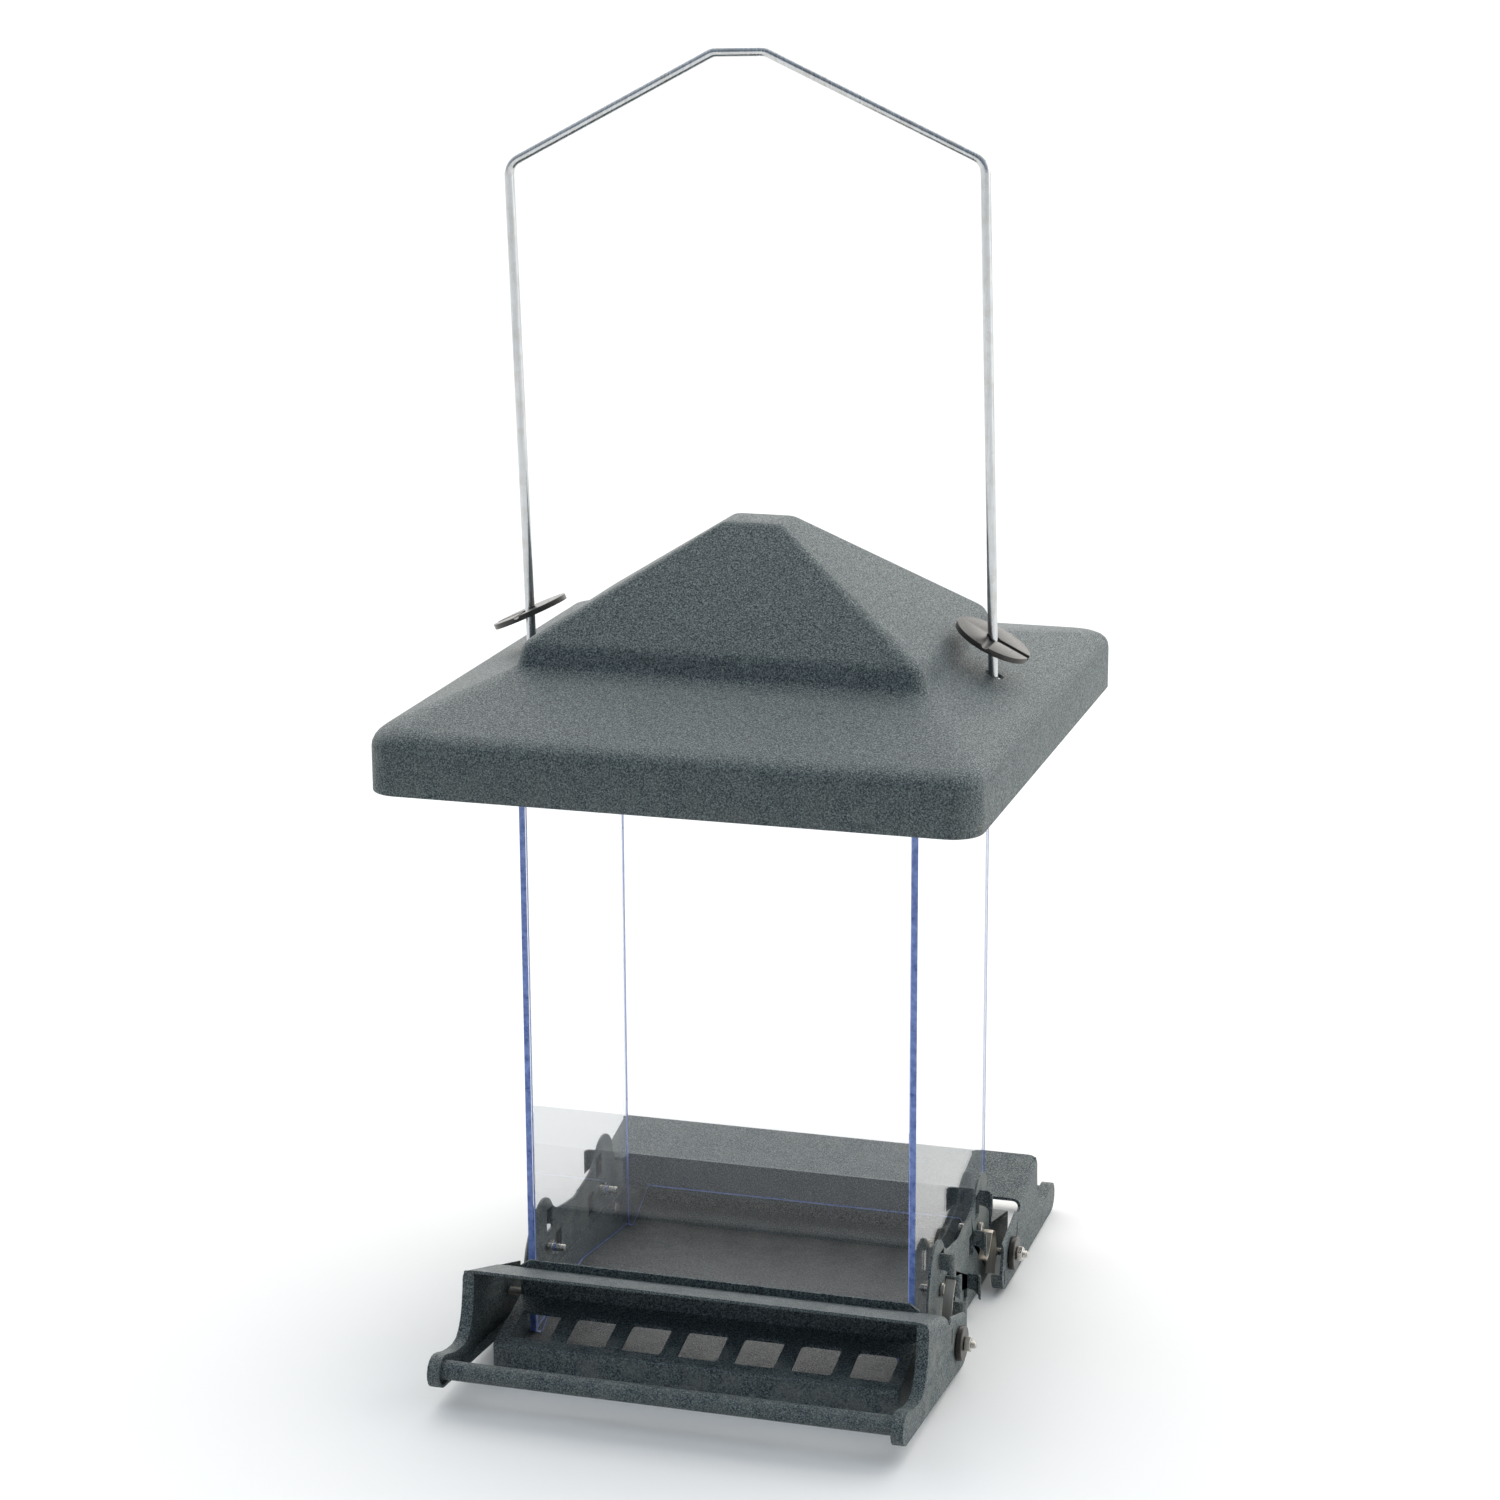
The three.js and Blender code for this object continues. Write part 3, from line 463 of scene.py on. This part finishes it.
def softened(levels, steps=5):
    """Rounds the turn at each level that has a softness, in its last number."""
    run = [levels[0][:4]]
    for before, here, after in zip(levels, levels[1:], levels[2:]):
        reach = here[4]
        if not reach:
            run.append(here[:4])
            continue
        start = part_way(here, before, reach)
        finish = part_way(here, after, reach)
        for i in range(steps + 1):
            t = i / steps
            run.append(tuple((1 - t) ** 2 * a + 2 * t * (1 - t) * b + t * t * c
                             for a, b, c in zip(start, here, finish)))
    run.append(levels[-1][:4])
    return run


def part_way(here, other, reach):
    """The level that lies the given distance from here towards the other level."""
    span = math.hypot(here[0] - other[0], here[3] - other[3])
    share = min(0.48, reach / span)
    return [a + (b - a) * share for a, b in zip(here[:4], other[:4])]


def roof_levels(inset, foot, top):
    """Half-width, half-depth, corner radius, height and softness of each turn of the stamping."""
    deck = top - 65.5
    edge_x, edge_y = HOPPER_X + 47 - inset, HOPPER_Y + 81 - inset
    riser_x, riser_y = HOPPER_X + 1 - inset, HOPPER_Y - 1.5 - inset
    return [
        (edge_x, edge_y, 15 - inset, foot, 0),
        (edge_x, edge_y, 15 - inset, deck - 15.6 - inset, 7),
        (riser_x + 1.4, riser_y + 1.4, 8.5, deck + 0.3 - inset, 3.2),
        (riser_x - 2.2, riser_y - 2.2, 6.5, deck + 12.3 - inset, 3.6),
        (15 - inset * 0.4, 12.5 - inset * 0.4, 2.5, top - 0.4 - inset, 2.6),
        (11 - inset * 0.4, 8.8 - inset * 0.4, 2.0, top - inset, 0),
    ]


def roof():
    low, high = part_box("roof")
    centre_y = (low.y + high.y) / 2
    foot, top = low.z / MM, high.z / MM
    outer = softened(roof_levels(0.0, foot + 0.5, top))
    inner = softened(roof_levels(ROOF_WALL, foot + 0.5, top))
    hem = [(outer[0][0] - ROOF_WALL * share, outer[0][1] - ROOF_WALL * share, 15 - ROOF_WALL * share,
            foot + drop) for share, drop in ((0.8, 0.1), (0.5, 0.0), (0.2, 0.1))]
    rings = [roof_ring(*spot, centre_y) for spot in inner[::-1] + hem + outer]
    work = ring_skin(bmesh.new(), rings)
    piece = piece_from("roof_stamping", work, "roof")
    for side in (-1, 1):
        rings = [wire_ring(Vector((side * LEG_X * MM, 0, z * MM)), Vector((0, 0, 1)), LEG_HOLE_RADIUS)
                 for z in (top - 90, top - 50)]
        cut_away(piece, ring_skin(bmesh.new(), rings))
    return piece


# ---- Hanger ---------------------------------------------------------------------------------


def wire_ring(at, along, radius, sides=24):
    """A circle of points around the given direction."""
    side = Vector((0, 1, 0)) if abs(along.y) < 0.9 else Vector((1, 0, 0))
    other = along.cross(side).normalized()
    side = other.cross(along).normalized()
    return [at + (side * math.cos(a) + other * math.sin(a)) * radius * MM
            for a in (2 * math.pi * i / sides for i in range(sides))]


def bent_line(corners, bend, steps=9):
    """Points and directions along straight runs joined by smooth bends."""
    stations = []
    last = corners[0]
    for corner, following in zip(corners[1:], corners[2:]):
        inward = (last - corner).normalized()
        onward = (following - corner).normalized()
        reach = bend * MM / math.tan(inward.angle(onward) / 2)
        start, finish = corner + inward * reach, corner + onward * reach
        runs = max(2, int((start - last).length / 0.02))
        stations += [(last.lerp(start, i / runs), -inward) for i in range(runs)]
        for i in range(steps):
            t = i / steps
            at = start * (1 - t) ** 2 + corner * 2 * t * (1 - t) + finish * t * t
            along = (corner - start).lerp(finish - corner, t).normalized()
            stations.append((at, along))
        last = finish
    direction = (corners[-1] - last).normalized()
    return stations + [(last, direction), (corners[-1], direction)]


def hanger():
    right_low, right_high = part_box("right_hanger_cap")
    left_low, left_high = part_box("left_hanger_cap")
    centre = (right_low + right_high + left_low + left_high) / 4
    half = [(CAP_WALL_X, 0), (LEG_X, 0), (LEG_X, SHOULDER_RISE), (TOP_HALF, TOP_RISE)]
    outline = [(-x, z) for x, z in half] + [(x, z) for x, z in reversed(half)]
    lean = Matrix.Rotation(math.radians(-HANGER_LEAN), 3, "Y")
    corners = [lean @ Vector((x * MM, 0, z * MM)) + centre for x, z in outline]
    rings = [wire_ring(at, along, WIRE_RADIUS) for at, along in bent_line(corners, WIRE_BEND)]
    return piece_from("hanger_wire", ring_skin(bmesh.new(), rings), "hanger")


# ---- Clear sheets ------------------------------------------------------------------------------


def clear_panel(node, thin_axis):
    """A clear sheet with polished faces and blue sawn edges."""
    piece = piece_from(node + "_finished", rounded(welded(node), 0.25, 2, 20), node)
    piece.data.materials.append(EDGE)
    piece.data.shade_flat()
    for face in piece.data.polygons:
        if abs(face.normal[thin_axis]) < 0.9:
            face.material_index = 1
    return piece


# ---- Lock discs ------------------------------------------------------------------------------------


def lock_disc(node):
    """A lock disc with a shallow moulded trough from the wire to the front of its upper face.

    Its tilt is read from its box, which is near enough to place the trough.
    """
    piece = finished(node, 0.7, 3)
    low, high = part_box(node)
    middle = (low + high) / 2
    side = 1 if middle.x > 0 else -1
    tilt = math.asin((high.z - low.z - DISC_THICKNESS * MM) / (high.x - low.x))
    upward = Vector((side * math.sin(tilt), 0, math.cos(tilt)))
    axis = middle + upward * (DISC_THICKNESS / 2 + TROUGH_LIFT) * MM
    radius = TROUGH_RADIUS * MM
    turns = [2 * math.pi * i / TROUGH_SIDES for i in range(TROUGH_SIDES)]
    work = bmesh.new()
    rings = [[axis + Vector((radius * math.cos(a), y * MM, radius * math.sin(a))) for a in turns]
             for y in (-TROUGH_LENGTH, 0)]
    ring_skin(work, rings)
    cut_away(piece, work)
    return piece


# ---- Pivot hardware -------------------------------------------------------------------------------


def threaded_rod(work, x0, x1, y, z, radius, side, turn=20):
    """A rod along X with a cut thread and a chamfered end."""
    length = abs(x1 - x0) / MM
    count = int(length / (THREAD_PITCH / 6))
    rings = []
    for k in range(count + 1):
        along = k * length / count
        end_taper = max(0.0, along - (length - 0.8)) / 0.8 * 0.55
        ring = []
        for i in range(turn):
            angle = 2 * math.pi * i / turn
            phase = along / THREAD_PITCH * 2 * math.pi - angle
            r = radius - THREAD_DEPTH * (0.5 - 0.5 * math.cos(phase)) - end_taper
            x = x0 + side * along * MM
            ring.append(Vector((x, y + r * MM * math.cos(angle), z + r * MM * math.sin(angle))))
        rings.append(ring)
    return ring_skin(work, rings)


def pivot_stud(node, side):
    low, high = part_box(node)
    y, z = (low.y + high.y) / 2, (low.z + high.z) / 2
    near, far = (low.x, high.x) if side > 0 else (high.x, low.x)
    head_radius = (high.z - low.z) / 2 / MM
    head_end = near + side * 2.8 * MM
    work = bmesh.new()
    stops = [(near, head_radius - 0.4), (near + side * 0.4 * MM, head_radius),
             (head_end - side * 0.3 * MM, head_radius), (head_end, head_radius - 0.3),
             (head_end, STUD_RADIUS)]
    rings = [[Vector((x, y + r * MM * math.cos(a), z + r * MM * math.sin(a)))
              for a in (2 * math.pi * i / 32 for i in range(32))] for x, r in stops]
    ring_skin(work, rings)
    threaded_rod(work, head_end - side * 0.2 * MM, far, y, z, STUD_RADIUS, side)
    return piece_from(node + "_threaded", work, node)


# ---- Make every piece --------------------------------------------------------------------------------

roof()
hanger()
for label, axis in (("right", 0), ("left", 0), ("front", 1), ("rear", 1)):
    clear_panel(f"{label}_clear_panel", axis)
for label in ("front", "rear"):
    finished(f"{label}_perch_frame", 0.35, 2, 30)
    finished(f"{label}_perch_bar", 0.3)
    finished(f"{label}_window_ledge", 0.4, 3)
for label in ("right", "left"):
    finished(f"{label}_side_plate", 0.25)
    lock_disc(f"{label}_lock_disc")
    finished(f"{label}_hanger_cap", 0.4)
finished("base_pan", 0.4)
# The seed ramp takes the paler copy of the coat, whose extra lightness is painted light from above.
finished("seed_ramp", 0.3).data.materials[0] = LIT_COPY_COAT
for end, hand in CORNERS:
    corner = f"{end}_{hand}"
    pivot_stud(f"{corner}_pivot_stud", 1 if hand == "right" else -1)
    finished(f"{corner}_pivot_washer", 0.6, 3)
    finished(f"{corner}_pivot_nut", 0.35)
    finished(f"{corner}_leaf_spring", 0.12)
    finished(f"{corner}_panel_screw", 0.3)
    finished(f"{corner}_panel_nut", 0.3)

# ---- Stage, light and camera ----------------------------------------------------------------

FLOOR_REACH = 24.0
ROOM_STRENGTH = 2.05
WARM_WHITE = (1.0, 0.965, 0.91)


def backdrop():
    """A pale floor that runs far behind the feeder. It sends less light back up than it shows."""
    made, tree, shader = new_material("pale_studio_floor")
    place = tree.add("TexCoord").outputs["Object"]
    tone = tree.add("TexNoise", Vector=place, Scale=1.5, Detail=2.0)
    seen = tree.ramp(tone.outputs["Fac"], (0.3, (0.93, 0.93, 0.925)), (0.7, (0.95, 0.95, 0.945)))
    bounced = tree.add("LightPath").outputs["Is Diffuse Ray"]
    tree.put(shader.inputs["Base Color"], tree.mix(bounced, seen, (0.70, 0.69, 0.67)))
    set_sockets(shader, Roughness=0.9, Specular_IOR_Level=0.2)
    work = bmesh.new()
    corners = ((-FLOOR_REACH, -FLOOR_REACH), (FLOOR_REACH, -FLOOR_REACH),
               (FLOOR_REACH, FLOOR_REACH), (-FLOOR_REACH, FLOOR_REACH))
    work.faces.new([work.verts.new((x, y, 0)) for x, y in corners])
    mesh = bpy.data.meshes.new("backdrop")
    work.to_mesh(mesh)
    work.free()
    mesh.shade_smooth()
    mesh.materials.append(made)
    floor = bpy.data.objects.new("backdrop", mesh)
    bpy.context.scene.collection.objects.link(floor)


def softbox(name, at, aim, width, height, watts):
    light = bpy.data.lights.new(name, "AREA")
    light.shape = "RECTANGLE"
    light.size = width
    light.size_y = height
    light.energy = watts
    light.color = WARM_WHITE
    lamp = bpy.data.objects.new(name, light)
    lamp.location = at
    lamp.rotation_euler = (Vector(aim) - Vector(at)).to_track_quat("-Z", "Y").to_euler()
    bpy.context.scene.collection.objects.link(lamp)


def surround():
    """Room light that is dim and bluish from the front. The room itself is seen as plain white."""
    world = bpy.data.worlds.new("studio")
    bpy.context.scene.world = world
    world.use_nodes = True
    tree = Tree(world.node_tree)
    place = tree.add("TexCoord").outputs["Generated"]
    across = tree.add("SeparateXYZ", Vector=place)
    facing = tree.math("ADD", tree.math("MULTIPLY", across.outputs["Y"], 0.5), 0.5)
    shade = tree.ramp(facing, (0.0, (0.06, 0.075, 0.10)), (0.34, (0.29, 0.33, 0.37)),
                      (0.5, (0.38, 0.39, 0.40)), (0.74, (1.0, 0.985, 0.955)))
    background = world.node_tree.nodes["Background"]
    seen = tree.add("LightPath").outputs["Is Camera Ray"]
    tree.put(background.inputs["Color"], tree.mix(seen, shade, (1.0, 1.0, 1.0)))
    background.inputs["Strength"].default_value = ROOM_STRENGTH


def camera():
    """Three-quarter view from the right of the front, slightly above the roof."""
    made = bpy.data.cameras.new("camera")
    made.lens = 86.35
    made.sensor_width = 36.0
    made.clip_end = 50.0
    view = bpy.data.objects.new("camera", made)
    yaw, pitch, roll = (math.radians(a) for a in (16.72, 14.85, -0.28))
    view.location = (0.4920, -1.6544, 0.7534)
    turn = Matrix.Rotation(yaw, 4, "Z") @ Matrix.Rotation(math.pi / 2 - pitch, 4, "X")
    view.rotation_euler = (turn @ Matrix.Rotation(roll, 4, "Z")).to_euler()
    bpy.context.scene.collection.objects.link(view)
    bpy.context.scene.camera = view


backdrop()
surround()
softbox("top_softbox", (0.2, 0.5, 2.6), (0, 0, 0.2), 2.4, 2.0, 9)
softbox("right_softbox", (2.4, 0.3, 1.0), (0, 0, 0.3), 1.6, 1.8, 5)
softbox("left_softbox", (-2.2, 0.4, 1.2), (0, 0, 0.3), 1.4, 1.6, 2)
camera()
bpy.context.scene.view_settings.view_transform = "Standard"
